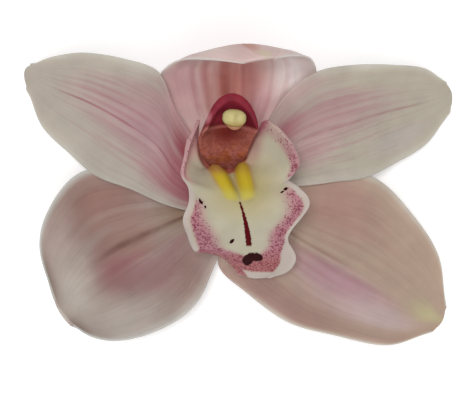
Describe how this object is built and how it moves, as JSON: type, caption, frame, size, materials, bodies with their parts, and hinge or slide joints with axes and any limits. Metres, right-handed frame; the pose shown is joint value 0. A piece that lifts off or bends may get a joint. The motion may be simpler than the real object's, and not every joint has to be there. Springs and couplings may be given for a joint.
{
  "type": "cymbidium orchid bloom",
  "caption": "Cymbidium orchid bloom lying face up, with broad sepals and petals, a hooded column, a keeled lip and a short cut stalk.",
  "frame": {"origin": "on the surface the bloom lies on, under the middle of its box", "axes": "+Z out of the face of the bloom, +X along its spread to the right as seen from the front, +Y towards the hooded dorsal sepal"},
  "size_m": [0.111, 0.0744, 0.0467],
  "materials": {
    "stalk_green": "waxy, slightly glossy",
    "dorsal_pink": "waxy satin with fine veins",
    "left_sepal_blush": "waxy satin with fine veins",
    "right_sepal_blush": "waxy satin with fine veins",
    "left_petal_pink": "waxy satin with fine veins",
    "right_petal_pink": "waxy satin with fine veins",
    "lip_cream": "matt, speckled band inside a pale rim",
    "column_maroon": "waxy satin",
    "cap_cream": "waxy satin",
    "pollinarium_pale": "waxy, slightly glossy"
  },
  "bodies": {
    "root": {"stalk": "stalk_green", "dorsal_sepal": "dorsal_pink", "left_sepal": "left_sepal_blush", "right_sepal": "right_sepal_blush", "left_petal": "left_petal_pink", "right_petal": "right_petal_pink", "lip": "lip_cream", "column": "column_maroon", "anther_cap": "cap_cream", "pollinarium": "pollinarium_pale"}
  },
  "joints": []
}
